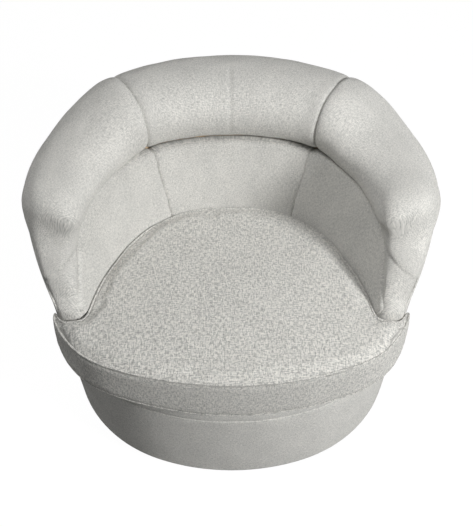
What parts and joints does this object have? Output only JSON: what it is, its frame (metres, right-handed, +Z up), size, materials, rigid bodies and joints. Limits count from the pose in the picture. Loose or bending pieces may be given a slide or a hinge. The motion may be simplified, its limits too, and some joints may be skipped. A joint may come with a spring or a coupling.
{
  "type": "swivel barrel chair",
  "caption": "Low round upholstered tub chair with a fat rolled rim, a loose boxed seat cushion and a recessed round plinth that lets the tub turn.",
  "frame": {"origin": "on the floor at the swivel axis, under the middle of the plinth", "axes": "+Z up along the swivel axis; the sitter faces -Y; +X is at the sitter's left hand"},
  "size_m": [0.8986, 0.8493, 0.7189],
  "materials": {
    "glide_plastic": "matt",
    "plinth_paint": "black stain, satin",
    "zinc_steel": "zinc plated",
    "retainer_nylon": "natural nylon",
    "frame_ply": "raw birch plywood",
    "frame_beech": "raw beech",
    "hardboard": "thin hardboard",
    "webbing_jute": "woven jute webbing",
    "spring_wire": "black tempered wire",
    "clip_plastic": "moulded clip",
    "insulator_felt": "needled felt",
    "dust_cloth": "thin black cloth",
    "deck_cloth": "plain deck cloth",
    "foam": "polyurethane foam",
    "seat_fabric": "coarse chenille weave, warm grey",
    "body_fabric": "fine linen weave, warm grey"
  },
  "bodies": {
    "floor_base": {"glide_ring": "glide_plastic", "plinth_disc": "plinth_paint", "swivel_lower_plate": "zinc_steel", "lower_plate_screws": "zinc_steel", "kingpin": "zinc_steel"},
    "ball_cage": {"ball_retainer": "retainer_nylon", "bearing_balls": "zinc_steel"},
    "seat_cushion": {"cushion_cover": "seat_fabric", "cushion_core": "foam"},
    "seat_body": {"arm_front_pad_left": "body_fabric", "arm_front_pad_right": "body_fabric", "arm_post_left": "frame_beech", "arm_post_right": "frame_beech", "back_webbing": "webbing_jute", "base_posts": "frame_beech", "bottom_ring": "frame_ply", "cross_stretcher": "frame_beech", "deck_cloth": "deck_cloth", "deck_pad": "foam", "dust_cover": "dust_cloth", "front_roll": "body_fabric", "inside_arm_pad_left": "body_fabric", "inside_arm_pad_right": "body_fabric", "inside_back_pad": "body_fabric", "long_stretcher": "frame_beech", "outside_board": "hardboard", "outside_cover": "body_fabric", "rib_arm_left": "frame_ply", "rib_arm_right": "frame_ply", "rib_corner_left": "frame_ply", "rib_corner_right": "frame_ply", "rib_rear": "frame_ply", "rib_side_left": "frame_ply", "rib_side_right": "frame_ply", "roll_arm_left": "body_fabric", "roll_arm_right": "body_fabric", "roll_back": "body_fabric", "seat_ring": "frame_ply", "sinuous_springs": "spring_wire", "spring_clips": "clip_plastic", "spring_insulator": "insulator_felt", "swivel_upper_plate": "zinc_steel", "top_rail": "frame_ply", "upper_plate_bolts": "zinc_steel"}
  },
  "joints": [
    {"name": "swivel", "type": "hinge", "parent": "floor_base", "child": "seat_body", "pos_m": [0, 0, 0.033], "axis": [0, 0, 1], "continuous": true},
    {"name": "ball_cage_turn", "type": "hinge", "parent": "floor_base", "child": "ball_cage", "pos_m": [0, 0, 0.033], "axis": [0, 0, 1], "continuous": true},
    {"name": "cushion_lift", "type": "slide", "parent": "seat_body", "child": "seat_cushion", "axis": [0, -0.8192, 0.5736], "range_m": [0, 0.75]}
  ],
  "couplings": [
    {"joint": "ball_cage_turn", "follows": "swivel", "ratio": 0.5}
  ]
}
